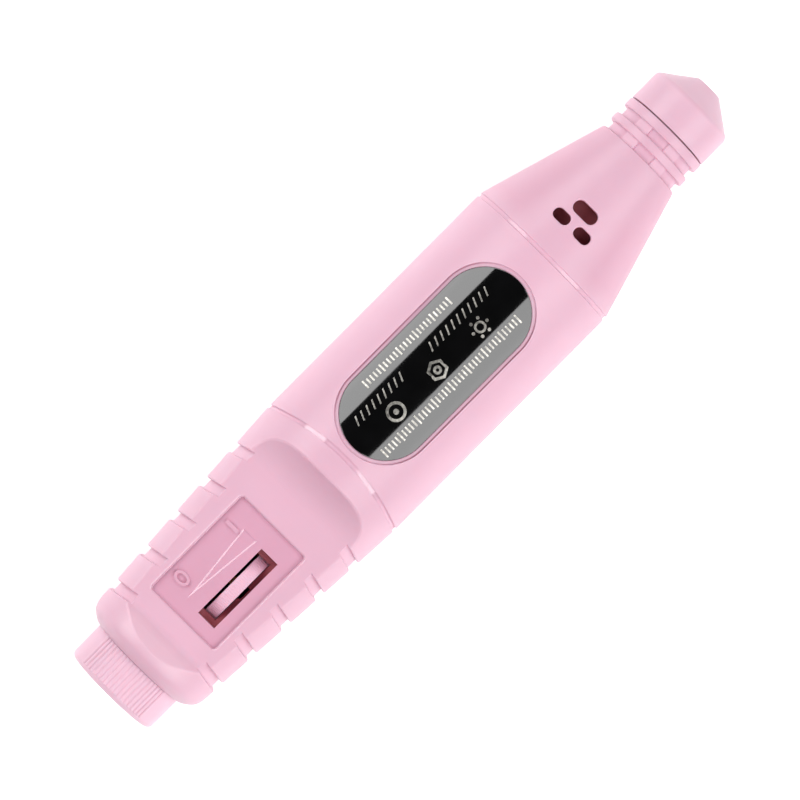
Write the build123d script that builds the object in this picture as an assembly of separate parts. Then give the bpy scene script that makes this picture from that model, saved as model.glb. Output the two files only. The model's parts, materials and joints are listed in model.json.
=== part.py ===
from build123d import *
import os
from math import cos, pi, radians, sin

# Electric nail drill handpiece, millimetres.
# Bench frame: X runs along the spindle from the tail (0) to the tip of the nose cap, Z points to the
# switch face, and the spindle axis is y = z = 0. write() moves every piece to the row frame, whose
# origin is at half the length, on the ground below the spindle.

# ---- driving dimensions ----
LENGTH = 144.3
BODY_R = 15.0
REST_FLAT = 14.75           # the ground is this far under the spindle axis
REST_FLAT_X = (48.4, 112.0)
WALL = 1.8
BODY_ROOM_R = 13.0          # inside radius of the straight body
RUN_GAP = 0.03              # radial clearance of a running fit

TAIL_CAP_R = 9.17
TAIL_CAP_END = 7.0
CAP_SPIGOT_R = 8.0          # the tail cap's spigot inside the casing
CAP_SPIGOT_END = 11.0
RIDGE_COUNT = 19            # lengthwise ridges on the tail cap, in front and again behind
RIDGE_SPREAD = 46           # degrees each side of the middle that they cover
RIDGE_R = 0.44
RIDGE_HEIGHT = 0.18
GRIP_START_R = 12.4
CHANNEL_PLAN_R = 38.0       # the grip channels are arcs of this radius, seen from above
CHANNEL_W = 2.0
# where each channel starts at the silhouette, its floor radius, and the grip's radius there
CHANNELS = [(12.5, 11.7, 12.4), (20.2, 12.2, 13.0), (27.9, 12.8, 13.5), (35.5, 13.2, 14.0),
            (43.2, 13.85, 14.4)]
SOFT_EDGE = 0.3
BODY_START = 53.0           # end of the grip, start of the straight body
SEAM_A = 53.1               # curved ring groove, at the silhouette
SEAM_A_W = 0.85
SEAM_B = 103.75             # straight ring groove before the cone
SEAM_B_W = 0.6
CONE_START = 104.5
SEAM_DEPTH = 0.3
CONE_END = 127.3
CONE_END_R = 8.26
NECK_R = 8.25
NECK_FLOOR_R = 7.4
NECK_BLOCK_R = 7.6
NECK_END = 132.3
COLLAR_END = 134.0

SADDLE_Z = 8.5              # floor of the thumb saddle
SADDLE_RISE_X = 45.5        # the nose-end wall of the saddle is an arc about this place
SADDLE_RISE_R = 6.3
WELL = (17.85, 39.73, 7.56) # switch well: start, end, half width
WELL_DEPTH = 0.75
WELL_RIM = 0.35
SLOT = (20.45, 35.63, -4.99, -1.18)     # x from, x to, y from, y to
WEDGE_HEIGHT = 0.12         # the dial's wedge stands this far above the well's floor
WEDGE_BEVEL = 66            # degrees that its sides lean in from upright
MARK_HEIGHT = 0.4           # height of the two marks beside it
VENT_RIM = 0.2
VENT_HOLES = [(110.68, 2.35, 2.15, 3.3), (110.68, -2.35, 2.15, 3.3), (113.95, 0, 2.5, 4.84)]

BADGE_X = 78.26
BADGE_LENGTH = 39.4
BADGE_HALF = 7.99
BADGE_GAP = 0.1             # between the plate and its pocket
BADGE_POCKET_R = 14.5
BADGE_TOP_R = 14.9
BADGE_STEP = 0.64           # width of the shallow step round the label's pocket
BADGE_STEP_R = 14.6

WHEEL_X = 28.04
WHEEL_Z = -0.1
WHEEL_R = 8.0
WHEEL_Y = (-3.99, -1.71)
WHEEL_TEETH = 110
TOOTH_DEPTH = 0.05
GUARD_TOP = 5.2             # ledge of the guard beside the wheel
GUARD_BOTTOM = 2.6
POT_R = 5.7
# solder pins of the speed control, from its axis
POT_PINS = [(-2.2, -4.6), (0, -5.0), (2.2, -4.6), (-4.2, 3.0), (4.2, 3.0)]

MOTOR_R = 12.2              # 24.4 mm motor
MOTOR_START = 64.8
MOTOR_END = 95.6
SHAFT_R = 1.15

BIT_R = 1.175               # 2.35 mm bit shanks
CHUCK_END = 133.6
BEARING_START = 121.5       # 6 x 13 x 5 mm ball bearing
BEARING_W = 5.0
BEARING_BORE_R = 3.0
BEARING_OUT_R = 6.5
BALL_R = 0.95
BALL_COUNT = 7
PITCH_R = 4.75

BOARD_X = (15.5, 49.5)
BOARD_Y = (3.0, 4.6)
BOARD_Z = (-8.0, 4.1)
# rails for the circuit board: place along the body, top, and how far out they may reach
BOARD_RAILS = [(19.5, 6.0, 11.3), (44.0, 7.4, 12.6)]
SCREW_PLACES = [(58.9, 8.2), (58.9, -8.2), (107.6, 8.0), (107.6, -8.0)]     # seen from above
BOSS_R = 3.0
SCREW_SEAT_Z = -4.0
SCREW_HEAD_R = 2.0
SCREW_HEAD_H = 1.4
SCREW_R = 0.93
# ribs inside the casing that hold the motor: from, to, inner radius
MOTOR_RIBS = [(62.9, 64.7, 10.6), (66.9, 68.0, MOTOR_R + 0.03), (92.6, 93.7, MOTOR_R + 0.03),
              (95.7, 97.2, 10.0)]
SPLIT_GAP = 0.06            # joint line between the two casing halves

NOSE_CAP_R = 8.2
CAP_JOINT = 0.2             # open joint between the collar and the nose cap
CAP_SHOULDER = 1.2          # rounding between the cap's cylinder and its cone
NOSE_TIP_R = 2.8
BIT_HOLE_R = 1.7

PIECES = {}


def write(name, shape):
    """Moves a piece to the row frame and keeps it under its node's name."""
    solids = shape.solids() if not isinstance(shape, (list, ShapeList)) else shape
    placed = [Pos(-LENGTH / 2, 0, REST_FLAT) * s for s in solids]
    PIECES[name] = placed[0] if len(placed) == 1 else Compound(children=placed)


def rod(x0, x1, r, y=0.0, z=0.0):
    """A cylinder along X."""
    return Pos((x0 + x1) / 2, y, z) * Rot(0, 90, 0) * Cylinder(r, x1 - x0)


def tube(x0, x1, r_out, r_in, y=0.0, z=0.0):
    return rod(x0, x1, r_out, y, z) - rod(x0 - 1, x1 + 1, r_in, y, z)


def block(x0, x1, y0, y1, z0, z1):
    return Pos((x0 + x1) / 2, (y0 + y1) / 2, (z0 + z1) / 2) * Box(x1 - x0, y1 - y0, z1 - z0)


def disc(y0, y1, r, x=0.0, z=0.0):
    """A cylinder along Y."""
    return Pos(x, (y0 + y1) / 2, z) * Rot(90, 0, 0) * Cylinder(r, y1 - y0)


def post(z0, z1, r, x=0.0, y=0.0):
    """A cylinder along Z."""
    return Pos(x, y, (z0 + z1) / 2) * Cylinder(r, z1 - z0)


def turned(points):
    """Turns a closed outline of (x, radius) corners about the spindle axis."""
    with BuildSketch() as sketch:
        with BuildLine():
            Polyline(*points, close=True)
        make_face()
    return revolve(sketch.sketch.face(), Axis.X)


def corner_near(face, a, b, flat):
    """The corner of a face closest to (a, b) in its own plane."""
    def away(v):
        second = v.Y if flat == "xy" else v.Z
        return (v.X - a) ** 2 + (second - b) ** 2
    return min(face.vertices(), key=away)


# ---- the long casing ----

def grip_outline(grow):
    """The tail bulb and the grip, as far as the straight body."""
    Line((TAIL_CAP_END, 0), (TAIL_CAP_END, 9.7 + grow))
    Spline((TAIL_CAP_END, 9.7 + grow), (7.75, 10.97 + grow), (8.7, 11.9 + grow), (9.75, 12.28 + grow),
           (11.0, GRIP_START_R + grow), tangents=[(0.35, 1), (1, 0.06)])
    Spline((11.0, GRIP_START_R + grow), (22.3, 13.1 + grow), (35.5, 13.95 + grow),
           (BODY_START, BODY_R + grow))


def casing_envelope():
    """The casing's outside without channels, saddle or label pocket."""
    with BuildSketch() as sketch:
        with BuildLine():
            grip_outline(0)
            Polyline((BODY_START, BODY_R), (SEAM_B - 0.1, BODY_R), (SEAM_B, BODY_R - SEAM_DEPTH),
                     (SEAM_B + SEAM_B_W, BODY_R - SEAM_DEPTH), (CONE_START, BODY_R - 0.04),
                     (CONE_END, CONE_END_R), (CONE_END + 0.1, NECK_FLOOR_R), (128.95, NECK_FLOOR_R),
                     (129.0, NECK_R), (130.6, NECK_R), (130.65, NECK_FLOOR_R),
                     (NECK_END, NECK_FLOOR_R), (NECK_END, 0), (TAIL_CAP_END, 0))
        make_face()
    face = sketch.sketch.face()
    for radius, corners in [(0.35, [(CONE_END, CONE_END_R), (129.0, NECK_R), (130.6, NECK_R)]),
                            (0.2, [(SEAM_B - 0.1, BODY_R), (CONE_START, BODY_R - 0.04)])]:
        face = fillet([corner_near(face, a, b, "xy") for a, b in corners], radius).face()
    return revolve(face, Axis.X)


def plan_band(x_side, width, r):
    """A crescent, seen from above, that crosses the body as an arc; x_side is its place at radius r."""
    centre = x_side + r * r / (2 * CHANNEL_PLAN_R) - CHANNEL_PLAN_R
    outer = Pos(centre + width, 0, 0) * Cylinder(CHANNEL_PLAN_R, 40)
    return outer - Pos(centre, 0, 0) * Cylinder(CHANNEL_PLAN_R, 40)


def with_channels(body):
    """Cuts the grip channels and rounds the edges of the blocks between them."""
    for x_side, floor_r, grip_r in CHANNELS:
        cutter = plan_band(x_side, CHANNEL_W, grip_r) - rod(-50, 200, floor_r)
        cut = body - cutter
        body = fillet(new_edges(body, cutter, combined=cut), SOFT_EDGE)
    return body - (plan_band(SEAM_A, SEAM_A_W, BODY_R) - rod(-50, 200, BODY_R - SEAM_DEPTH))


def saddle_cutter(extra):
    """The thumb saddle, grown by extra on its floor and walls."""
    floor = SADDLE_Z - extra
    rise = SADDLE_RISE_R + extra
    end = SADDLE_RISE_X + rise
    with BuildSketch(Plane.XZ) as sketch:
        with BuildLine():
            Polyline((9.0 - extra, 13.7), (12.6 - extra, 10.2 - extra), (14.0 - extra / 2, floor),
                     (SADDLE_RISE_X, floor))
            JernArc((SADDLE_RISE_X, floor), (1, 0), rise, 90)
            Polyline((end, floor + rise), (end + 0.1, 22), (9.0 - extra, 22), (9.0 - extra, 13.7))
        make_face()
    face = sketch.sketch.face()
    face = fillet([corner_near(face, 14.0 - extra / 2, floor, "xz")], 2.0).face()
    return extrude(face, 18, both=True)


def with_saddle(body):
    """Cuts the saddle, with a rounded rim.

    The rim is rounded on a plain form a hair larger than the grip, and the grip is trimmed to it.
    """
    with BuildSketch() as sketch:
        with BuildLine():
            grip_outline(0.02)
            Polyline((BODY_START, BODY_R + 0.02), (LENGTH, BODY_R + 0.02), (LENGTH, 0), (TAIL_CAP_END, 0))
        make_face()
    plain = revolve(sketch.sketch.face(), Axis.X)
    cutter = saddle_cutter(0)
    cut = plain - cutter
    form = fillet(new_edges(plain, cutter, combined=cut), 0.6)
    return body & form


def with_well(body):
    """Cuts the switch well in the saddle's floor, rounds it, and raises its dial marks."""
    x0, x1, half = WELL
    floor = SADDLE_Z - WELL_DEPTH
    well = fillet(block(x0, x1, -half, half, floor, SADDLE_Z + 8).edges().filter_by(Axis.Z), 0.7)
    body = body - well

    def edge_at(z):
        def on_level(e):
            c = e.center()
            return abs(c.Z - z) < 0.01 and x0 - 1 < c.X < x1 + 1 and abs(c.Y) < half + 0.5
        return body.edges().filter_by(on_level)
    body = fillet(edge_at(SADDLE_Z), WELL_RIM)
    body = fillet(edge_at(floor), 0.2)
    wedge = Polygon((20.6, 1.78), (36.0, 0.2), (36.0, 3.4), align=None)
    ring = Pos(22.7, 4.85) * (Ellipse(1.1, 1.5) - Ellipse(0.6, 1.0))
    bar = Pos(34.8, 4.95) * RectangleRounded(0.7, 2.8, 0.3)
    sunk = 0.01             # how far the wedge starts under the floor
    body += Pos(0, 0, floor - sunk) * extrude(wedge, sunk + WEDGE_HEIGHT, taper=WEDGE_BEVEL)
    for mark in (ring, bar):
        body += Pos(0, 0, floor - 0.2) * extrude(mark, 0.2 + MARK_HEIGHT)
    return body - block(*SLOT, 3.0, 10.0)


def badge_outline(grow):
    """The label's stadium outline, seen from above."""
    return Pos(BADGE_X, 0) * SlotOverall(BADGE_LENGTH + 2 * grow, 2 * (BADGE_HALF + grow))


def with_badge_pocket(body):
    """Cuts the label's pocket and the shallow, softly edged step round it."""
    step = Pos(0, 0, 5) * extrude(badge_outline(BADGE_STEP), 20) - rod(40, 120, BADGE_STEP_R)
    cut = body - step
    body = fillet(new_edges(body, step, combined=cut), 0.1)
    return body - (Pos(0, 0, 5) * extrude(badge_outline(0), 20) - rod(40, 120, BADGE_POCKET_R))


def with_vents(body):
    """Three vent holes through the top of the cone."""
    for x, y, width, across in VENT_HOLES:
        hole = Pos(x, y, 6) * extrude(RectangleRounded(width, across, width / 2 - 0.06), 12)
        cut = body - hole
        rim = new_edges(body, hole, combined=cut).filter_by(lambda e: e.center().Z > 11)
        body = fillet(rim, VENT_RIM)
    return body


def vent_baffle():
    """A tray inside the casing that hangs under the vents and lets air out at its two ends."""
    x0, x1, y, floor, ceiling = 108.9, 116.4, 6.2, 7.4, 11.5
    tray = block(x0, x1, -y, y, floor, ceiling)
    tray -= block(x0 - 1, x1 + 1, -y + 0.8, y - 0.8, floor + 0.8, ceiling + 1)
    return tray & turned([(105, 0), (105, 13.2), (128, 6.4), (128, 0)])


def with_neck_blocks(body):
    """Low blocks in the two neck grooves, front and back."""
    for x0, x1 in [(CONE_END, 129.1), (130.5, NECK_END)]:
        for middle in (64, 116, 244, 296):
            lump = block(x0, x1, 7.0, NECK_BLOCK_R, -1.5, 1.5)
            lump = fillet(lump.edges().filter_by(Axis.X), 0.2)
            body += Rot(middle, 0, 0) * lump
    return body


def cavity():
    """The space inside the casing."""
    spigot_hole = CAP_SPIGOT_R + 0.05
    room = turned([(TAIL_CAP_END - 1, 0), (TAIL_CAP_END - 1, spigot_hole),
                   (CAP_SPIGOT_END + 0.2, spigot_hole), (CAP_SPIGOT_END + 0.2, 9.9),
                   (50.0, 12.0), (52.0, BODY_ROOM_R), (102.0, BODY_ROOM_R), (119.0, 8.2), (120.0, 5.6),
                   (BEARING_START - 0.02, 5.6), (BEARING_START - 0.02, BEARING_OUT_R + 0.02),
                   (NECK_END + 1, BEARING_OUT_R + 0.02), (NECK_END + 1, 0)])
    room -= saddle_cutter(WALL)
    x0, x1, half = WELL
    return room - block(x0 - 1.4, x1 + 1.4, -half - 1.4, half + 1.4, SADDLE_Z - WELL_DEPTH - WALL, 15)


def board_rails():
    rails = []
    for x, top_z, reach in BOARD_RAILS:
        for low, high in [(-12.4, BOARD_Z[0] + 0.8), (BOARD_Z[1] - 0.5, top_z)]:
            rail = block(x - 1.0, x + 1.0, 1.8, 5.8, low, high)
            rail -= block(x - 2, x + 2, BOARD_Y[0] - 0.02, BOARD_Y[1] + 0.02, BOARD_Z[0] - 0.02,
                          BOARD_Z[1] + 0.02)
            rails.append(rail & rod(0, 60, reach))
    return rails


def wheel_guard():
    """A trough under the slot that keeps dust off the speed control, with room for the wheel."""
    x0, x1, y0, y1 = SLOT
    ceiling = SADDLE_Z - WELL_DEPTH - WALL
    guard = block(x0 - 1.2, x1 + 1.2, y0 - 1.2, y1, GUARD_BOTTOM, ceiling + 0.1)
    guard -= disc(WHEEL_Y[0] - 0.17, y1 + 1, WHEEL_R + 0.4, WHEEL_X, WHEEL_Z)
    guard -= block(x0, x1, y0, y1, GUARD_TOP, 10)
    return guard - block(WHEEL_X - 1.25, WHEEL_X + 1.25, y0 + 0.35, WHEEL_Y[0], 0, GUARD_TOP)


def make_casing():
    """The two casing halves, split at the height of the spindle."""
    outside = casing_envelope()
    outside -= block(*REST_FLAT_X, -20, 20, -20, -REST_FLAT)
    outside = with_neck_blocks(with_vents(outside))
    outside = with_channels(with_badge_pocket(outside))
    outside = with_well(with_saddle(outside))
    shell = outside - cavity()
    for x0, x1, r in MOTOR_RIBS:
        shell += tube(x0, x1, BODY_ROOM_R + 0.2, r)
    for rail in board_rails():
        shell += rail
    shell += wheel_guard()
    shell += vent_baffle()
    core = turned([(48, 0), (48, 13.6), (103, 13.8), (127, 7.6), (127, 0)])
    halves = []
    for low, high in [(0, 20), (-20, -SPLIT_GAP)]:
        half = shell & block(0, 150, -20, 20, low, high)
        for x, y in SCREW_PLACES:
            half += post(low, high, BOSS_R, x, y) & core
        halves.append(half)
    top_half, bottom_half = halves
    for x, y in SCREW_PLACES:
        top_half -= post(-1, 6.0, SCREW_R + 0.02, x, y)
        bottom_half -= post(-20, 1, 1.2, x, y) + post(-20, SCREW_SEAT_Z, SCREW_HEAD_R + 0.2, x, y)
    return top_half, bottom_half


def make_shell_screws():
    screws = []
    for x, y in SCREW_PLACES:
        head = post(SCREW_SEAT_Z - SCREW_HEAD_H, SCREW_SEAT_Z, SCREW_HEAD_R, x, y)
        head = fillet(head.edges().filter_by(GeomType.CIRCLE).group_by(Axis.Z)[0], 0.4)
        shank = post(SCREW_SEAT_Z - 0.1, 5.6, SCREW_R, x, y)
        drive = Pos(x, y, SCREW_SEAT_Z - 1.2) * (Box(2.2, 0.5, 0.8) + Box(0.5, 2.2, 0.8))
        screws.append(head + shank - drive)
    return screws


def make_tail_cap():
    """Short cap with fine lengthwise ridges in front and behind, and a spigot into the casing."""
    end = TAIL_CAP_END - 0.08
    with BuildSketch() as sketch:
        with BuildLine():
            Polyline((0, 3.05), (0, TAIL_CAP_R), (end, TAIL_CAP_R), (end, CAP_SPIGOT_R),
                     (CAP_SPIGOT_END, CAP_SPIGOT_R), (CAP_SPIGOT_END, CAP_SPIGOT_R - 1.0),
                     (2.0, CAP_SPIGOT_R - 1.0), (2.0, 3.05), close=True)
        make_face()
    face = fillet(corner_near(sketch.sketch.face(), 0, TAIL_CAP_R, "xy"), 1.0).face()
    cap = revolve(face, Axis.X)
    step = 2 * RIDGE_SPREAD / (RIDGE_COUNT - 1)
    r = TAIL_CAP_R - RIDGE_R + RIDGE_HEIGHT
    for middle in (90, 270):
        for i in range(RIDGE_COUNT):
            a = radians(middle - RIDGE_SPREAD + step * i)
            ridge = rod(0.8, end, RIDGE_R, r * cos(a), r * sin(a))
            cap += fillet(ridge.edges().filter_by(GeomType.CIRCLE).group_by(Axis.X)[0], 0.2)
    return cap


def make_nose_collar():
    """Ring that closes the neck, holds the bearing and carries the spigot for the nose cap."""
    collar = turned([(126.55, 5.3), (126.55, 6.5), (NECK_END, 6.5), (NECK_END, NECK_R - 0.15),
                     (NECK_END + 0.15, NECK_R), (COLLAR_END - 0.15, NECK_R),
                     (COLLAR_END, NECK_R - 0.15), (COLLAR_END, 6.4), (136.0, 6.4), (136.0, 5.4),
                     (137.2, 5.4), (137.2, 6.4), (138.3, 6.4), (138.6, 6.1), (138.6, 4.4),
                     (130.0, 4.4), (130.0, 5.3)])
    return collar


def make_nose_cap():
    start = COLLAR_END + CAP_JOINT
    with BuildSketch() as sketch:
        with BuildLine():
            Polyline((start, 6.46), (start, NOSE_CAP_R), (140.1, NOSE_CAP_R), (144.1, NOSE_TIP_R),
                     (LENGTH, NOSE_TIP_R - 0.25), (LENGTH, BIT_HOLE_R), (142.7, BIT_HOLE_R),
                     (139.2, 6.46), close=True)
        make_face()
    face = fillet(corner_near(sketch.sketch.face(), 140.1, NOSE_CAP_R, "xy"), CAP_SHOULDER).face()
    face = fillet(corner_near(face, start, NOSE_CAP_R, "xy"), 0.2).face()
    face = fillet(corner_near(face, 144.1, NOSE_TIP_R, "xy"), 0.25).face()
    return revolve(face, Axis.X)


def make_badge():
    """The label plate and the adhesive film under it, both bent to the body."""
    over = extrude(badge_outline(-BADGE_GAP), 20) & tube(50, 110, BADGE_TOP_R, BADGE_TOP_R - 0.34)
    over = fillet(over.faces().sort_by(Axis.Z)[-1].edges(), 0.12)
    under = extrude(badge_outline(-0.4), 20) & tube(50, 110, BADGE_TOP_R - 0.34, BADGE_POCKET_R + 0.01)
    return over, under


def make_speed_wheel():
    """Edge-on thumbwheel with a finely serrated rim."""
    rim = []
    for i in range(2 * WHEEL_TEETH):
        r = WHEEL_R - (TOOTH_DEPTH if i % 2 else 0.0)
        rim.append((r * cos(pi * i / WHEEL_TEETH), r * sin(pi * i / WHEEL_TEETH)))
    wheel = extrude(Polygon(*rim, align=None), WHEEL_Y[1] - WHEEL_Y[0])
    wheel = Pos(WHEEL_X, WHEEL_Y[1], WHEEL_Z) * Rot(90, 0, 0) * wheel
    wheel -= disc(-5, 0, 1.47, WHEEL_X, WHEEL_Z)
    return wheel - disc(-5, -3.1, 2.0, WHEEL_X, WHEEL_Z)


def make_potentiometer():
    """The speed control behind the wheel; the spindle and wiper turn with the wheel."""
    x, z = WHEEL_X, WHEEL_Z
    cup = disc(-1.1, 2.1, POT_R, x, z) - disc(-0.7, 3, POT_R - 0.5, x, z)
    write("pot_body", cup - disc(-2, 0, 1.55, x, z))
    write("pot_base", disc(2.1, 2.9, POT_R, x, z) - disc(2, 3, 1.5, x, z))
    track = disc(1.95, 2.1, 4.9, x, z) - disc(1, 3, 3.5, x, z)
    write("pot_track", track - block(x - 0.9, x + 0.9, 1, 3, z - 6, z))
    spindle = disc(-3.1, 2.7, 1.47, x, z) - disc(-4, 0.6, 0.75, x, z)
    write("pot_spindle", spindle)
    wiper = disc(1.2, 1.5, 2.4, x, z) + block(x - 0.8, x + 0.8, 1.2, 1.5, z + 1.6, z + 4.7)
    wiper += block(x - 0.5, x + 0.5, 1.4, 1.92, z + 3.8, z + 4.6)
    write("pot_wiper", wiper - disc(0, 3, 1.47, x, z))
    write("wheel_screw", disc(-3.8, -3.1, 1.7, x, z) + disc(-3.2, 0.4, 0.74, x, z)
          - block(x - 2, x + 2, -4, -3.5, z - 0.2, z + 0.2))
    write("pot_terminals", [disc(2.9, 5.2, 0.32, x + dx, z + dz) for dx, dz in POT_PINS])


def make_electronics():
    """The circuit board, on edge beside the speed control, and what is soldered to it."""
    board = block(*BOARD_X, *BOARD_Y, *BOARD_Z)
    for dx, dz in POT_PINS:
        board -= disc(2, 6, 0.42, WHEEL_X + dx, WHEEL_Z + dz)
    leg_places = [39.4, 40.75, 42.1]
    for x in leg_places:
        board -= disc(2, 6, 0.35, x, -5.2)
    for x in (38.6, 46.4):
        board -= disc(2, 6, 0.35, x, 1.0)
    resistor_rows = [(28.0, -3.4), (28.0, -0.7), (28.0, 2.0)]
    diode_place = (36.4, -1.6)
    for x, z in resistor_rows + [diode_place]:
        for end in (-2.9, 2.9):
            board -= disc(2, 6, 0.35, x + end, z)
    write("circuit_board", board)

    transistor = block(38.5, 43.0, -1.2, 2.2, -7.3, -3.1)
    transistor = fillet(transistor.edges().filter_by(Axis.Z).group_by(Axis.Y)[0], 1.1)
    for x in leg_places:
        transistor += disc(2.0, 5.1, 0.25, x, -5.2)
    write("transistor", transistor)

    can = rod(38.0, 47.0, 3.0, -0.1, 1.0)
    can = fillet(can.edges().filter_by(GeomType.CIRCLE), 0.4)
    for x in (38.6, 46.4):
        can += disc(2.5, 5.1, 0.25, x, 1.0)
    write("capacitor", can)

    def axial(x, z, r, half):
        """A round body along X on two bent legs."""
        y = BOARD_Y[1] + r + 0.1
        shape = rod(x - half, x + half, r, y, z)
        shape = fillet(shape.edges().filter_by(GeomType.CIRCLE), 0.25)
        for side in (-1, 1):
            outer = x + 2.9 * side
            shape += rod(min(x, outer), max(x, outer), 0.25, y, z)
            shape += disc(2.95, y, 0.25, outer, z)
            shape += Pos(outer, y, z) * Sphere(0.25)
        return shape
    write("resistors", [axial(x, z, 0.95, 1.9) for x, z in resistor_rows])
    write("diode", axial(*diode_place, 1.2, 2.1))


def make_jack():
    """Round power socket in the tail cap: a 3.6 mm bore round a 1.3 mm pin."""
    housing = rod(0.5, 9.5, 3.0) + rod(2.0, 3.6, 4.6) - rod(0, 8.0, 1.8) - rod(7, 11, 0.9)
    for y in (-1.9, 1.9):
        housing -= block(8.4, 10, y - 0.45, y + 0.45, -0.9, 0.9)
    write("jack_housing", housing)
    pin = rod(1.4, 8.0, 0.65) + rod(8.0, 10.6, 0.9) + Pos(1.4, 0, 0) * Sphere(0.65)
    write("jack_centre_pin", pin)
    write("jack_contacts", [block(8.4, 13.2, y - 0.2, y + 0.2, -0.8, 0.8) for y in (-1.9, 1.9)])
    write("jack_retainer", tube(3.6, 4.6, 6.98, 3.05))


def lead(points, radii):
    """An insulated wire along straight runs joined by arcs."""
    path = FilletPolyline(*points, radius=radii)
    start = Plane(origin=points[0], z_dir=Vector(*points[1]) - Vector(*points[0]))
    return sweep(start * Circle(0.5), path=path)


def make_leads():
    routes = {
        "power_lead_plus": [(13.2, 1.9, 0), (17.0, 1.9, 0), (17.0, 3.0, 0)],
        "power_lead_minus": [(13.2, -1.9, 0), (14.8, -1.9, 0), (16.8, 0.6, -4.4), (16.8, 3.0, -4.4)],
        "motor_lead_plus": [(48.2, 3.0, 2.0), (48.2, 0.6, 2.0), (54.0, 0.5, 5.8), (58.0, 0, 7.0),
                            (61.2, 0, 7.0)],
        "motor_lead_minus": [(48.2, 3.0, -5.0), (48.2, 0.6, -5.0), (54.0, 0.5, -6.4), (58.0, 0, -7.0),
                             (61.2, 0, -7.0)],
    }
    for name, points in routes.items():
        arcs = [0.52] if len(points) == 3 else [1.0] * (len(points) - 2)
        write(name, lead(points, arcs))


def make_motor():
    """Brushed motor, 24.4 mm across; its shaft drives the chuck."""
    can = rod(66.3, MOTOR_END, MOTOR_R) + rod(95.0, 97.2, 3.3)
    write("motor_can", can - rod(65, 94.6, 11.2) - rod(94, 98, 2.6))
    bell = rod(MOTOR_START, 66.3, MOTOR_R) + rod(66.3, 68.3, 11.15) + rod(63.6, MOTOR_START, 3.0)
    write("motor_end_bell", bell - rod(60, 70, 2.4))
    write("motor_rear_bush", tube(63.8, 66.6, 2.4, SHAFT_R + RUN_GAP))
    write("motor_front_bush", tube(94.7, 97.0, 2.6, SHAFT_R + RUN_GAP))
    write("motor_shaft", rod(64.2, 107.5, SHAFT_R))
    magnets = tube(70.5, 91.0, 11.15, 9.45) & block(60, 100, -12, 12, -8.3, 8.3)
    write("motor_magnets", magnets)

    core = rod(75.0, 88.0, 3.0)
    shoe = tube(75.0, 88.0, 9.1, 7.9) & block(70, 95, -6.9, 6.9, 0, 12)
    tooth = block(75.0, 88.0, -1.6, 1.6, 2.0, 8.3)
    coil = block(73.4, 89.6, -3.4, 3.4, 3.25, 7.0)
    coil = fillet(coil.edges().filter_by(Axis.Z), 1.2)
    coil -= block(74.98, 88.02, -1.62, 1.62, 0, 9)
    turns = [Rot(120 * i, 0, 0) * coil for i in range(3)]
    for i in range(3):
        core += Rot(120 * i, 0, 0) * (shoe + tooth)
    write("armature_core", core - rod(70, 90, SHAFT_R))
    write("armature_windings", turns)
    write("commutator_base", tube(69.3, 73.0, 1.7, SHAFT_R))
    bars = tube(69.3, 72.6, 2.6, 1.7) + tube(72.2, 72.6, 3.0, 1.7)
    for i in range(3):
        bars -= Rot(120 * i + 60, 0, 0) * block(69, 73, -0.15, 0.15, 0, 4)
    write("commutator_bars", bars)
    write("thrust_washers", [tube(68.45, 68.85, 2.3, SHAFT_R), tube(93.9, 94.5, 2.3, SHAFT_R)])

    write("motor_brushes", [Rot(180 * i, 0, 0) * block(70.2, 72.0, -1.0, 1.0, 2.63, 4.4)
                            for i in range(2)])
    write("brush_springs", [Rot(180 * i, 0, 0) * block(68.3, 72.0, -0.9, 0.9, 4.4, 4.7)
                            for i in range(2)])
    write("motor_terminals", [Rot(180 * i, 0, 0) * block(61.2, MOTOR_START, -1.2, 1.2, 6.8, 7.2)
                              for i in range(2)])
    suppressor = rod(61.3, 63.1, 3.0) + post(-6.8, 6.8, 0.25, 62.2)
    write("suppressor_capacitor", suppressor)
    write("motor_dampers", [tube(x, x + 2.5, BODY_ROOM_R - 0.04, MOTOR_R + 0.02) for x in (69.0, 89.0)])


def make_chuck():
    """Chuck on the motor shaft, split at the nose to grip a 2.35 mm bit shank."""
    body = rod(99.6, 108.2, 4.5) + rod(108.2, BEARING_START - 0.1, 3.7)
    body += rod(121.0, CHUCK_END, BEARING_BORE_R - 0.01)
    ends = body.edges().filter_by(GeomType.CIRCLE)
    body = chamfer([ends.sort_by(Axis.X)[0], ends.sort_by(Axis.X)[-1]], 0.4)
    body -= rod(98, 107.6, SHAFT_R) + rod(112, 140, BIT_R)
    mouth = Pos(CHUCK_END - 0.2, 0, 0) * Rot(0, 90, 0) * Cone(BIT_R, BIT_R + 0.4, 0.4)
    body -= mouth
    body -= tube(126.55, 127.05, 4, 2.7) + tube(130.6, 131.8, 4, 2.6)
    body -= post(0, 6, 1.0, 103.6)
    for i in range(3):
        body -= Rot(120 * i, 0, 0) * block(127.6, 140, -0.17, 0.17, 0, 4)
    write("chuck", body)
    screw = post(SHAFT_R + 0.01, 3.9, 0.99, 103.6)
    write("chuck_grub_screw", screw - post(2.9, 5, 0.45, 103.6))
    write("chuck_circlip", tube(126.6, 127.0, 4.0, 2.72) - block(126, 128, -1.2, 1.2, 0, 6))
    write("collet_spring", tube(130.7, 131.7, 3.3, 2.62) - block(130, 132, -0.4, 0.4, 0, 6))


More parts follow.
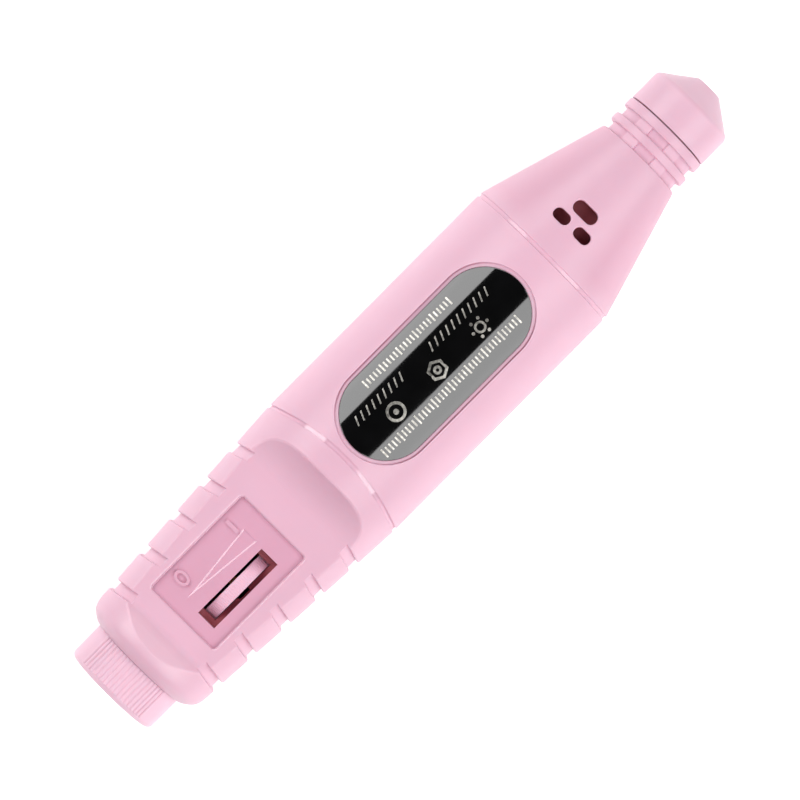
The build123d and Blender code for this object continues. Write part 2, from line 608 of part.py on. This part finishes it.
def make_bearing():
    """The ball bearing that carries the chuck in the neck."""
    x0 = BEARING_START
    x1 = BEARING_START + BEARING_W
    middle = (x0 + x1) / 2
    race = Pos(middle, 0, 0) * Rot(0, 90, 0) * Torus(PITCH_R, BALL_R + 0.02)
    write("bearing_inner_ring", tube(x0, x1, 4.1, BEARING_BORE_R) - race)
    write("bearing_outer_ring", tube(x0, x1, BEARING_OUT_R, 5.4) - race)
    places = []
    for i in range(BALL_COUNT):
        a = 2 * pi * i / BALL_COUNT
        places.append(Pos(middle, PITCH_R * cos(a), PITCH_R * sin(a)))
    write("bearing_balls", [p * Sphere(BALL_R) for p in places])
    cage = tube(middle - 1.4, middle + 1.4, 5.0, 4.5)
    for p in places:
        cage -= p * Sphere(BALL_R + 0.05)
    write("bearing_cage", cage)
    write("bearing_shields", [tube(x0 + 0.1, x0 + 0.35, 5.38, 4.2), tube(x1 - 0.35, x1 - 0.1, 5.38, 4.2)])


top, bottom = make_casing()
write("top_shell", top)
write("bottom_shell", bottom)
write("shell_screws", make_shell_screws())
write("tail_cap", make_tail_cap())
write("nose_collar", make_nose_collar())
write("nose_cap", make_nose_cap())
ring_at = Pos(136.6, 0, 0) * Rot(0, 90, 0)
write("cap_o_ring", ring_at * Torus(5.92, 0.5))
plate, adhesive = make_badge()
write("badge_plate", plate)
write("badge_adhesive", adhesive)
write("speed_wheel", make_speed_wheel())
make_potentiometer()
make_electronics()
make_jack()
make_leads()
make_motor()
make_chuck()
make_bearing()

os.makedirs("parts", exist_ok=True)
for name, piece in PIECES.items():
    export_step(piece, "parts/" + name + ".step")
print(len(PIECES), "nodes")
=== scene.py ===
import json
from math import cos, pi, radians, sin, tan

import bpy
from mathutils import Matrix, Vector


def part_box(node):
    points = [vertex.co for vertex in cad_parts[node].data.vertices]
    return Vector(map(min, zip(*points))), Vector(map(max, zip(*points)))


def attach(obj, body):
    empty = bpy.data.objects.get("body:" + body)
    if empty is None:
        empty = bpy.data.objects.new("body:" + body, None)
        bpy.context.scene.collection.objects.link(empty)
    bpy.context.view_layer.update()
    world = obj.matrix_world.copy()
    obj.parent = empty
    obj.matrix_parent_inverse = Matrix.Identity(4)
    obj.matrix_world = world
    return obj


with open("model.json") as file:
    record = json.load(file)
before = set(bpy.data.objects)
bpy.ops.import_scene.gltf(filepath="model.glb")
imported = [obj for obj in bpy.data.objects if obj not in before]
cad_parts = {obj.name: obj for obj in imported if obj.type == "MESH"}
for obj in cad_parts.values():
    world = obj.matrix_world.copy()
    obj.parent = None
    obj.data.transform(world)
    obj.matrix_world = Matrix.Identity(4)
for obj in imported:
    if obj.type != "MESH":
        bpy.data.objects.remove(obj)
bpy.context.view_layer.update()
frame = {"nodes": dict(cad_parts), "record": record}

# ---- sizes, in metres, from the frame ----
MM = 0.001
HALF_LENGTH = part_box("nose_cap")[1].x
AXIS_Z = (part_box("nose_collar")[0].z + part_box("nose_collar")[1].z) / 2

# ---- features of the casing in millimetres, as the CAD has them ----
# lengths are from the tail end, heights and radii from the spindle's axis
BODY_R = 15.0
INNER_R = 13.3                  # a little outside the cavity of the body
GRIP_INNER_R = 9.3              # and of the grip
GRIP_END = 57.0                 # where the grip's cavity has given way to the body's
INSIDE_ROOF = 5.85              # in the grip, everything above this is outside
OPEN_HEIGHT = 90.0              # far above the tool: nearer the nose there is no such roof
CONE_START = 104.5
CONE_SLOPE = 0.2956
CONE_EXTRA = 0.2                # how much farther outside the cavity the cone's limit lies
CONE_SIDES_X = (106.0, 128.0)   # the cone's sides, along the tool
CONE_SIDES_Y = (6.0, 20.0)      # and away from the middle plane
SADDLE_FLOOR = 8.5
SADDLE_RAMP_X = (9.8, 13.6)     # slope at the tail end of the thumb saddle
SADDLE_RAMP_HALF = 7.5
SADDLE_RAMP_BOTTOM = 5.0        # below every point of it
WELL_X = (17.85, 39.73)
WELL_HALF = 7.56
WELL_FLOOR = 7.75
WELL_RIM = 0.45                 # breadth of the rounded edge
WELL_RIM_Z = (SADDLE_FLOOR - 0.34, SADDLE_FLOOR - 0.01)
MARK_BEVEL_Z = (WELL_FLOOR + 0.005, WELL_FLOOR + 0.115)
SEAM_A_PLAN_R = 38.0            # the grip's ring groove is an arc of this radius from above
SEAM_A_START = 53.1 + BODY_R * BODY_R / (2 * SEAM_A_PLAN_R)
SEAM_A_WIDTH = 0.85
SEAM_B_X = (103.75, 104.35)     # the straight ring groove
SEAM_B_SHARE = 0.55             # its polish beside the other groove's
SEAM_R = (14.4, 14.85)          # both grooves, below the body's surface
SEAM_Y = (3.6, 9.0)             # the stretches of them that are polished


def along(x_mm):
    """Row-frame X of a place given in millimetres from the tail end."""
    return x_mm * MM - HALF_LENGTH


# ---- camera, lights and floor ----
CAMERA_HEIGHT = 0.807           # above the spindle
CAMERA_X = along(69.8)
CAMERA_Y = -0.00008
CAMERA_ROLL = radians(45.2)
LENS = 213.75
SENSOR_WIDTH = 36.0
FAR_CLIP = 20.0

FLOOR_HALF = 3.0
FLOOR_GLOW = 0.44
FLOOR_COLOUR = (0.8, 0.8, 0.8, 1)
FLOOR_ROUGHNESS = 0.9
SKY_SIDES = 0.52                # horizon beside the tool
SKY_TAIL = 0.15                 # horizon beyond its tail
SKY_NOSE = 0.26                 # and beyond its nose
SKY_ZENITH = 0.02
SKY_FADE = (0.25, 0.62)         # height, as a share of straight up, where the horizon's light fades
SKY_TURN = (0.35, 0.8)          # share of lengthwise direction where the sides become the ends
SKY_NOSE_FROM = 0.5             # and from which the nose's level holds instead of the tail's
SOFTBOX_DISTANCE = 0.40
SOFTBOX_LENGTH = 0.80
# each softbox: name, side, nearest and farthest angle from straight up, radiance
SOFTBOXES = [("softbox_left", 1, 31.6, 66.0, 2.95), ("softbox_right", -1, 23.6, 65.0, 2.75)]


def make_camera():
    data = bpy.data.cameras.new("camera")
    data.lens = LENS
    data.sensor_width = SENSOR_WIDTH
    data.clip_end = FAR_CLIP
    camera = bpy.data.objects.new("camera", data)
    camera.location = (CAMERA_X, CAMERA_Y, AXIS_Z + CAMERA_HEIGHT)
    camera.rotation_euler = (0, 0, -CAMERA_ROLL)
    bpy.context.scene.collection.objects.link(camera)
    bpy.context.scene.camera = camera


def make_softbox(name, side, near, far, radiance):
    """A long strip light beside the tool, between two angles from straight up."""
    middle = radians((near + far) / 2)
    width = 2 * SOFTBOX_DISTANCE * tan(radians((far - near) / 2))
    data = bpy.data.lights.new(name, "AREA")
    data.shape = "RECTANGLE"
    data.size = SOFTBOX_LENGTH
    data.size_y = width
    data.energy = radiance * pi * SOFTBOX_LENGTH * width
    light = bpy.data.objects.new(name, data)
    light.location = (0, side * SOFTBOX_DISTANCE * sin(middle), AXIS_Z + SOFTBOX_DISTANCE * cos(middle))
    light.rotation_euler = (-side * middle, 0, 0)
    light.visible_camera = False
    bpy.context.scene.collection.objects.link(light)


class Graph:
    """A node tree with helpers for arithmetic on its sockets."""

    def __init__(self, tree):
        self.nodes = tree.nodes
        self.links = tree.links

    def math(self, operation, *values):
        """A Math node on plain numbers or sockets; returns its output socket."""
        node = self.nodes.new("ShaderNodeMath")
        node.operation = operation
        for socket, value in zip(node.inputs, values):
            if isinstance(value, (int, float)):
                socket.default_value = value
            else:
                self.links.new(value, socket)
        return node.outputs[0]

    def spread(self, value, source, target):
        """Maps value from the range source to the range target, and holds it at the ends."""
        node = self.nodes.new("ShaderNodeMapRange")
        settings = zip(("From Min", "From Max", "To Min", "To Max"), (*source, *target))
        for name, number in settings:
            if isinstance(number, (int, float)):
                node.inputs[name].default_value = number
            else:
                self.links.new(number, node.inputs[name])
        self.links.new(value, node.inputs["Value"])
        return node.outputs[0]

    def ramp(self, value, low, low_colour, high, high_colour):
        """Runs from one colour to another while value runs from low to high."""
        node = self.nodes.new("ShaderNodeValToRGB")
        first, last = node.color_ramp.elements
        first.position = low
        first.color = (*low_colour, 1)
        last.position = high
        last.color = (*high_colour, 1)
        self.links.new(value, node.inputs[0])
        return node.outputs[0]

    def split(self, vector):
        """The three parts of a vector, as sockets."""
        node = self.nodes.new("ShaderNodeSeparateXYZ")
        self.links.new(vector, node.inputs[0])
        return node.outputs


def make_sky():
    """Bright near the horizon, dark overhead, as a studio with a black ceiling."""
    world = bpy.data.worlds.new("studio")
    bpy.context.scene.world = world
    world.use_nodes = True
    sky = Graph(world.node_tree)
    place = sky.nodes.new("ShaderNodeTexCoord")
    lengthwise, _, upward = sky.split(place.outputs["Generated"])
    low = sky.ramp(upward, SKY_FADE[0], (1, 1, 1), SKY_FADE[1], (0, 0, 0))
    is_nose = sky.math("GREATER_THAN", lengthwise, SKY_NOSE_FROM)
    end_glow = sky.math("MULTIPLY_ADD", is_nose, SKY_NOSE - SKY_TAIL, SKY_TAIL - SKY_ZENITH)
    glow = sky.spread(sky.math("ABSOLUTE", lengthwise), SKY_TURN, (SKY_SIDES - SKY_ZENITH, end_glow))
    light = sky.math("MULTIPLY_ADD", low, glow, SKY_ZENITH)
    sky.links.new(light, sky.nodes["Background"].inputs["Color"])


def make_floor():
    mesh = bpy.data.meshes.new("floor")
    corners = [(x * FLOOR_HALF, y * FLOOR_HALF, 0) for x, y in ((-1, -1), (1, -1), (1, 1), (-1, 1))]
    mesh.from_pydata(corners, [], [(0, 1, 2, 3)])
    floor = bpy.data.objects.new("floor", mesh)
    bpy.context.scene.collection.objects.link(floor)
    material = bpy.data.materials.new("floor")
    material.use_nodes = True
    shader = material.node_tree.nodes["Principled BSDF"]
    shader.inputs["Base Color"].default_value = FLOOR_COLOUR
    shader.inputs["Roughness"].default_value = FLOOR_ROUGHNESS
    shader.inputs["Emission Color"].default_value = (1, 1, 1, 1)
    shader.inputs["Emission Strength"].default_value = FLOOR_GLOW
    mesh.materials.append(material)


# ---- materials ----

MIX_FIRST_COLOUR = 6            # sockets of a Mix node that mixes colours
MIX_SECOND_COLOUR = 7
MIX_COLOUR_OUT = 2
NOISE_MIDDLE = (0.3, 0.7)       # most of a noise's values lie between these


class Surface(Graph):
    """A Principled material with helpers for procedural detail."""

    def __init__(self, name, colour, roughness, metallic=0.0, **inputs):
        self.material = bpy.data.materials.new(name)
        self.material.use_nodes = True
        super().__init__(self.material.node_tree)
        self.shader = self.nodes["Principled BSDF"]
        self.colour = colour
        self.shader.inputs["Base Color"].default_value = (*colour, 1)
        self.shader.inputs["Roughness"].default_value = roughness
        self.shader.inputs["Metallic"].default_value = metallic
        for key, value in inputs.items():
            self.shader.inputs[key.replace("_", " ")].default_value = value
        self.place = self.nodes.new("ShaderNodeTexCoord").outputs["Object"]
        self.normal = None

    def noise(self, scale, detail, stretch=(1, 1, 1)):
        """Noise with about scale cells to the metre; a small stretch draws them out that way."""
        mapping = self.nodes.new("ShaderNodeMapping")
        mapping.inputs["Scale"].default_value = stretch
        noise = self.nodes.new("ShaderNodeTexNoise")
        noise.inputs["Scale"].default_value = scale
        noise.inputs["Detail"].default_value = detail
        self.links.new(self.place, mapping.inputs["Vector"])
        self.links.new(mapping.outputs["Vector"], noise.inputs["Vector"])
        return noise.outputs["Fac"]

    def vary_colour(self, value, other, low=0.35, high=0.65):
        """Mixes the base colour with another one where value runs from low to high."""
        mixed = self.ramp(value, low, self.colour, high, other)
        self.links.new(mixed, self.shader.inputs["Base Color"])

    def vary_roughness(self, value, smooth, rough):
        """Runs the roughness from smooth to rough over the middle of a noise's range."""
        varied = self.spread(value, NOISE_MIDDLE, (smooth, rough))
        self.links.new(varied, self.shader.inputs["Roughness"])

    def within(self, value, low, high, soft):
        """1 where value lies between low and high, falling off over soft."""
        above = self.math("DIVIDE", self.math("SUBTRACT", value, low), soft)
        below = self.math("DIVIDE", self.math("SUBTRACT", high, value), soft)
        nearest = self.math("ADD", self.math("MINIMUM", above, below), 0.5)
        return self.math("MAXIMUM", self.math("MINIMUM", nearest, 1.0), 0.0)

    def both(self, first, *others):
        """Where all of the masks are 1."""
        for other in others:
            first = self.math("MULTIPLY", first, other)
        return first

    def either(self, first, *others):
        """Where any of the masks is 1."""
        for other in others:
            first = self.math("MAXIMUM", first, other)
        return first

    def tint(self, mask, colour):
        """Multiplies what feeds the base colour by colour where mask is 1."""
        socket = self.shader.inputs["Base Color"]
        source = socket.links[0].from_socket
        mix = self.nodes.new("ShaderNodeMix")
        mix.data_type = "RGBA"
        mix.blend_type = "MULTIPLY"
        mix.inputs[MIX_SECOND_COLOUR].default_value = (*colour, 1)
        self.links.new(mask, mix.inputs["Factor"])
        self.links.new(source, mix.inputs[MIX_FIRST_COLOUR])
        self.links.new(mix.outputs[MIX_COLOUR_OUT], socket)

    def override(self, name, mask, value):
        """Blends one number of the shader toward value where mask is 1."""
        socket = self.shader.inputs[name]
        start = socket.links[0].from_socket if socket.links else socket.default_value
        change = self.math("SUBTRACT", value, start)
        self.links.new(self.math("MULTIPLY_ADD", change, mask, start), socket)

    def bump(self, value, strength, depth):
        """Adds fine relief on top of any that is there already."""
        bump = self.nodes.new("ShaderNodeBump")
        bump.inputs["Strength"].default_value = strength
        bump.inputs["Distance"].default_value = depth
        self.links.new(value, bump.inputs["Height"])
        if self.normal is not None:
            self.links.new(self.normal, bump.inputs["Normal"])
        self.normal = bump.outputs["Normal"]
        self.links.new(self.normal, self.shader.inputs["Normal"])


def shade(amount, colour):
    return tuple(c * amount for c in colour)


PINK = (0.80, 0.485, 0.605)
PINK_ROUGHNESS = 0.36
WHEEL_ROUGHNESS = 0.34
PINK_GRAIN = 0.12               # strength of the moulded grain
WHEEL_GRAIN = 0.2
# the caps in a lighter pink than the casing: painted light where light falls on them
TAIL_CAP_PINK_PAINTED_LIGHT = (0.86, 0.55, 0.67)
NOSE_CAP_PINK_PAINTED_LIGHT = (0.82, 0.51, 0.63)
# painted shade: deeper, redder rose inside the cavity
INSIDE_PAINTED_SHADE = (0.62, 0.30, 0.28)
# painted shade: the switch well darker and more violet
WELL_PAINTED_SHADE = (0.92, 0.80, 0.85)
# painted shade: the cone's sides a little darker
CONE_PAINTED_SHADE = (0.97, 0.91, 0.93)
# painted light: the saddle's tail slope paler
RAMP_PAINTED_LIGHT = (1.05, 1.12, 1.08)
POLISHED_ROUGHNESS = 0.1
POLISHED_COAT = 0.5
COAT_IOR = 2.2
COAT_ROUGHNESS = 0.05
GLOW_THROUGH = 0.22             # share of light that travels through the pink plastic
GLOW_RADIUS = (1.0, 0.42, 0.38)
GLOW_DEPTH = 1.6 * MM


def moulded_plastic(name, colour, roughness=PINK_ROUGHNESS, grain=PINK_GRAIN):
    """Satin moulded plastic: fine spark-eroded grain, faint flow marks and colour drift."""
    s = Surface(name, colour, roughness, Subsurface_Weight=GLOW_THROUGH,
                Subsurface_Radius=GLOW_RADIUS, Subsurface_Scale=GLOW_DEPTH)
    s.vary_colour(s.noise(55, 3), shade(0.965, colour))
    s.vary_roughness(s.noise(240, 2), roughness - 0.04, roughness + 0.05)
    s.bump(s.noise(2600, 3), grain, 0.02 * MM)
    s.bump(s.noise(90, 1, (0.4, 1, 1)), 0.05, 0.2 * MM)
    return s


def casing_plastic_with_painted_light(name):
    """The casing's plastic: deeper rose inside, darker in the switch well and on the cone's sides, all
    painted shade;
    paler on the saddle's tail slope, a painted light; and polished in places."""
    s = moulded_plastic(name, PINK)
    place = s.split(s.place)
    # millimetres from the tail end, from the middle plane and above the spindle
    x = s.math("MULTIPLY_ADD", place["X"], 1 / MM, HALF_LENGTH / MM)
    y = s.math("MULTIPLY", place["Y"], 1 / MM)
    z = s.math("MULTIPLY_ADD", place["Z"], 1 / MM, -AXIS_Z / MM)
    wide = s.math("ABSOLUTE", y)
    y2 = s.math("MULTIPLY", y, y)
    r = s.math("SQRT", s.math("MULTIPLY_ADD", z, z, y2))

    # painted shade inside: deeper, redder rose within the cavity, which narrows in the cone, and in the
    # grip also under the well
    nose_part = s.math("GREATER_THAN", x, GRIP_END)
    cone = s.math("MULTIPLY_ADD", x, -CONE_SLOPE, INNER_R + CONE_EXTRA + CONE_SLOPE * CONE_START)
    limit = s.math("SUBTRACT", s.math("MINIMUM", cone, INNER_R), GRIP_INNER_R)
    limit = s.math("MULTIPLY_ADD", limit, nose_part, GRIP_INNER_R)
    roof = s.math("MULTIPLY_ADD", nose_part, OPEN_HEIGHT, INSIDE_ROOF)
    s.tint(s.both(s.math("LESS_THAN", r, limit), s.math("LESS_THAN", z, roof)), INSIDE_PAINTED_SHADE)

    # painted shade: the switch well darker and more violet
    in_well = s.both(s.within(x, *WELL_X, 0.3), s.math("LESS_THAN", wide, WELL_HALF),
                     s.within(z, WELL_FLOOR - 0.3, SADDLE_FLOOR - 0.3, 0.3))
    s.tint(in_well, WELL_PAINTED_SHADE)
    # painted shade: the cone's sides a little darker
    s.tint(s.both(s.within(x, *CONE_SIDES_X, 3.0), s.within(wide, *CONE_SIDES_Y, 4.0)), CONE_PAINTED_SHADE)
    # painted light: the saddle's tail slope paler
    on_ramp = s.both(s.within(x, *SADDLE_RAMP_X, 1.6), s.within(wide, -BODY_R, SADDLE_RAMP_HALF, 3.0),
                     s.math("GREATER_THAN", z, SADDLE_RAMP_BOTTOM))
    s.tint(on_ramp, RAMP_PAINTED_LIGHT)

    # polished: the well's rim, the bevels of the marks in the well, and parts of the ring grooves
    rim = s.both(s.within(x, WELL_X[0] - WELL_RIM, WELL_X[1] + WELL_RIM, 0.2),
                 s.math("LESS_THAN", wide, WELL_HALF + WELL_RIM), s.within(z, *WELL_RIM_Z, 0.01))
    bevel = s.both(s.within(z, *MARK_BEVEL_Z, 0.01), in_well)
    bend = s.math("MULTIPLY_ADD", y2, 1 / (2 * SEAM_A_PLAN_R), x)
    seam_a = s.within(bend, SEAM_A_START, SEAM_A_START + SEAM_A_WIDTH, 0.1)
    seam_b = s.math("MULTIPLY", s.within(x, *SEAM_B_X, 0.1), SEAM_B_SHARE)
    grooves = s.both(s.either(seam_a, seam_b), s.within(r, *SEAM_R, 0.1), s.within(wide, *SEAM_Y, 1.2))
    polished = s.either(grooves, rim, bevel)
    s.override("Roughness", polished, POLISHED_ROUGHNESS)
    s.override("Coat Weight", polished, POLISHED_COAT)
    s.shader.inputs["Coat IOR"].default_value = COAT_IOR
    s.shader.inputs["Coat Roughness"].default_value = COAT_ROUGHNESS
    return s


def metal(name, colour, roughness, stretch=(1, 1, 1), grain=900):
    """Bare metal with fine machining or rolling marks."""
    s = Surface(name, colour, roughness, metallic=1.0)
    s.vary_colour(s.noise(160, 3), shade(0.86, colour))
    s.vary_roughness(s.noise(grain, 3, stretch), roughness * 0.75, roughness * 1.3)
    s.bump(s.noise(grain, 2, stretch), 0.15, 0.01 * MM)
    return s


def coated(name, colour, roughness, other=0.85, grain=700):
    """Any painted, moulded, sintered or printed surface of one colour family."""
    s = Surface(name, colour, roughness)
    s.vary_colour(s.noise(grain * 0.25, 3), shade(other, colour))
    s.vary_roughness(s.noise(grain * 0.5, 2), roughness * 0.85, min(1.0, roughness * 1.2))
    s.bump(s.noise(grain, 3), 0.2, 0.03 * MM)
    return s


def label_gloss(name, colour):
    """Black label lacquer with a faint long ripple."""
    s = Surface(name, colour, 0.05, IOR=1.95)
    s.vary_colour(s.noise(300, 2), shade(0.6, colour))
    s.vary_roughness(s.noise(120, 2), 0.04, 0.09)
    s.bump(s.noise(70, 1, (0.3, 1, 1)), 0.02, 0.2 * MM)
    return s


def foil(name, colour):
    """Hot-stamped silver foil, slightly grainy."""
    s = Surface(name, colour, 0.42, metallic=1.0)
    s.vary_colour(s.noise(2200, 2), shade(0.62, colour), 0.4, 0.6)
    s.vary_roughness(s.noise(1500, 2), 0.32, 0.55)
    s.bump(s.noise(3200, 2), 0.5, 0.03 * MM)
    return s


def make_surfaces():
    """One surface for each record slot, and for the mouldings with their own: the casing with painted
    shade and light, the caps with painted light.
    """
    return {
        # the casing, with painted shade and painted light
        "casing": casing_plastic_with_painted_light("pink_casing_with_painted_shade_and_light"),
        "pink_shell": moulded_plastic("pink_shell", PINK),
        # painted light: the caps a lighter pink than the casing
        "tail_cap": moulded_plastic("pink_tail_cap_painted_light", TAIL_CAP_PINK_PAINTED_LIGHT),
        "nose_cap": moulded_plastic("pink_nose_cap_painted_light", NOSE_CAP_PINK_PAINTED_LIGHT),
        # painted light: the wheel a lighter pink than the casing, against the shade in its slot
        "pink_wheel": moulded_plastic("pink_wheel", shade(1.1, PINK), WHEEL_ROUGHNESS, WHEEL_GRAIN),
        "gloss_black": label_gloss("gloss_black", (0.0022, 0.0022, 0.0025)),
        "adhesive": coated("adhesive", (0.62, 0.58, 0.5), 0.9),
        "steel": metal("steel", (0.62, 0.62, 0.63), 0.22, (0.05, 1, 1)),
        "zinc_steel": metal("zinc_steel", (0.50, 0.51, 0.53), 0.38),
        "brass": metal("brass", (0.80, 0.58, 0.26), 0.28, (0.1, 1, 1)),
        "bronze": metal("bronze", (0.55, 0.34, 0.17), 0.5),
        "copper": metal("copper", (0.75, 0.32, 0.14), 0.3, (0.05, 1, 1), 2500),
        "ferrite": coated("ferrite", (0.045, 0.045, 0.05), 0.7),
        "laminations": metal("laminations", (0.25, 0.25, 0.27), 0.45, (6, 0.2, 0.2), 600),
        "carbon": coated("carbon", (0.02, 0.02, 0.021), 0.6),
        "nylon_white": coated("nylon_white", (0.72, 0.70, 0.63), 0.45, 0.95),
        "black_plastic": coated("black_plastic", (0.012, 0.012, 0.013), 0.35),
        "phenolic": coated("phenolic", (0.30, 0.15, 0.06), 0.55),
        "green_board": coated("green_board", (0.012, 0.12, 0.035), 0.3, 0.7, 300),
        "resistor_body": coated("resistor_body", (0.50, 0.36, 0.20), 0.3),
        "ceramic": coated("ceramic", (0.60, 0.25, 0.05), 0.35),
        "capacitor_sleeve": coated("capacitor_sleeve", (0.012, 0.025, 0.09), 0.25),
        "rubber_black": coated("rubber_black", (0.012, 0.012, 0.012), 0.75),
        "wire_red": coated("wire_red", (0.42, 0.015, 0.015), 0.4),
        "wire_black": coated("wire_black", (0.012, 0.012, 0.012), 0.4),
    }


# pink mouldings with a surface of their own: the casing with painted shade and light, and the caps in a
# lighter pink, a painted light
OWN_SURFACE_AND_PAINTED_LIGHT = {
    "top_shell": "casing",
    "bottom_shell": "casing",
    "tail_cap": "tail_cap",
    "nose_cap": "nose_cap",
}


def dress_frame(surfaces):
    """Gives every CAD node the finish that its record slot names, or its own surface with painted light
    and shade.
    """
    for part in frame["record"]["subparts"]:
        mesh = frame["nodes"][part["node"]].data
        finish = OWN_SURFACE_AND_PAINTED_LIGHT.get(part["node"], part["material_slot"])
        mesh.materials.clear()
        mesh.materials.append(surfaces[finish].material)


# ---- foil marks on the label ----
# places are millimetres from the label's middle: along the tool toward the nose, then around it
# toward +Y

LABEL_TOP_R = 14.905 * MM       # just above the label plate
FOIL_THICKNESS = 0.02 * MM
LABEL_X = 78.26                 # middle of the label, from the tail end
BAR_WIDTH = 0.3
BAR_STEPS = 4                   # stretches that a bar is drawn in, so that it follows the curve
SCALE_STEP = 0.79
SCALE_GROUP = 5                 # every fifth line of a scale is longer
# each scale: name, first line, place around, number of lines, height of long and short ones
SCALES = [
    ("foil_upper_scale", -10.7, 6.0, 26, 1.7, 1.25),
    ("foil_lower_scale", -16.6, -4.6, 41, 1.9, 1.4),
]
HATCHES = [(-16.0, 9), (1.5, 11)]   # first line and number of lines
HATCH_STEP = 1.3
HATCH_PLACE = 2.55
HATCH_HEIGHT = 1.6
HATCH_SLANT = 0.7
SYMBOL_PLACE = -1.0
DOT_INNER_R = 0.02              # a dot is a ring with next to no hole
# each ring: place along, inner and outer radius, corners, turn
RINGS = [
    (-10.3, 1.25, 1.75, 40, 0.0),
    (-10.3, DOT_INNER_R, 0.5, 16, 0.0),
    (-0.5, 1.35, 1.9, 6, pi / 2),
    (-0.5, 0.3, 0.75, 20, 0.0),
    (9.6, 0.65, 1.05, 24, 0.0),
]
DOT_CIRCLE_X = 9.6
DOT_CIRCLE_R = 1.6
DOTS = 6
DOT_R = 0.3
DOT_CORNERS = 12


class Foil:
    """Thin flat shapes wrapped on the label."""

    def __init__(self):
        self.points = []
        self.faces = []

    def wrapped(self, a, s, lift):
        r = LABEL_TOP_R + lift
        angle = s * MM / LABEL_TOP_R
        return (along(LABEL_X + a), r * sin(angle), AXIS_Z + r * cos(angle))

    def ribbon(self, left, right, closed=False):
        """A closed flat solid between two rows of places, which runs right round if closed."""
        start = len(self.points)
        for lift in (0, FOIL_THICKNESS):
            for place in left + right:
                self.points.append(self.wrapped(*place, lift))
        n = len(left)
        top = start + 2 * n
        for i in range(n if closed else n - 1):
            j = (i + 1) % n
            self.faces.append((top + i, top + n + i, top + n + j, top + j))
            self.faces.append((start + i, start + j, start + n + j, start + n + i))
            self.faces.append((start + i, top + i, top + j, start + j))
            self.faces.append((start + n + i, start + n + j, top + n + j, top + n + i))
        if not closed:
            end = n - 1
            self.faces.append((start, start + n, top + n, top))
            self.faces.append((start + end, top + end, top + n + end, start + n + end))

    def bar(self, a, s, height, slant=0.0):
        """An upright bar, which leans toward the nose by slant over its height."""
        parts = [i / BAR_STEPS - 0.5 for i in range(BAR_STEPS + 1)]
        left = [(a + slant * part - BAR_WIDTH / 2, s + height * part) for part in parts]
        right = [(a + slant * part + BAR_WIDTH / 2, s + height * part) for part in parts]
        self.ribbon(left, right)

    def ring(self, a, s, inner, outer, corners, turn=0.0):
        """A ring, or an outlined polygon when it has few corners."""
        def loop(radius):
            angles = [2 * pi * i / corners + turn for i in range(corners)]
            return [(a + radius * cos(t), s + radius * sin(t)) for t in angles]
        self.ribbon(loop(inner), loop(outer), closed=True)

    def finish(self, name, material):
        mesh = bpy.data.meshes.new(name)
        mesh.from_pydata(self.points, [], self.faces)
        mesh.materials.append(material)
        piece = bpy.data.objects.new(name, mesh)
        bpy.context.scene.collection.objects.link(piece)
        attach(piece, "housing")


def make_label_marks(material):
    """A plain scale above and below, hatching, and three plain symbols."""
    for name, first, place, count, long_height, short_height in SCALES:
        scale = Foil()
        for i in range(count):
            height = short_height if i % SCALE_GROUP else long_height
            scale.bar(first + SCALE_STEP * i, place, height)
        scale.finish(name, material)
    hatch = Foil()
    for first, count in HATCHES:
        for i in range(count):
            hatch.bar(first + HATCH_STEP * i, HATCH_PLACE, HATCH_HEIGHT, HATCH_SLANT)
    hatch.finish("foil_hatching", material)
    symbols = Foil()
    for a, inner, outer, corners, turn in RINGS:
        symbols.ring(a, SYMBOL_PLACE, inner, outer, corners, turn)
    for i in range(DOTS):
        t = 2 * pi * i / DOTS
        a = DOT_CIRCLE_X + DOT_CIRCLE_R * cos(t)
        s = SYMBOL_PLACE + DOT_CIRCLE_R * sin(t)
        symbols.ring(a, s, DOT_INNER_R, DOT_R, DOT_CORNERS)
    symbols.finish("foil_symbols", material)


bpy.context.scene.view_settings.view_transform = "Standard"
make_camera()
make_sky()
make_floor()
for settings in SOFTBOXES:
    make_softbox(*settings)
dress_frame(make_surfaces())
make_label_marks(foil("silver_foil", (0.62, 0.60, 0.55)).material)
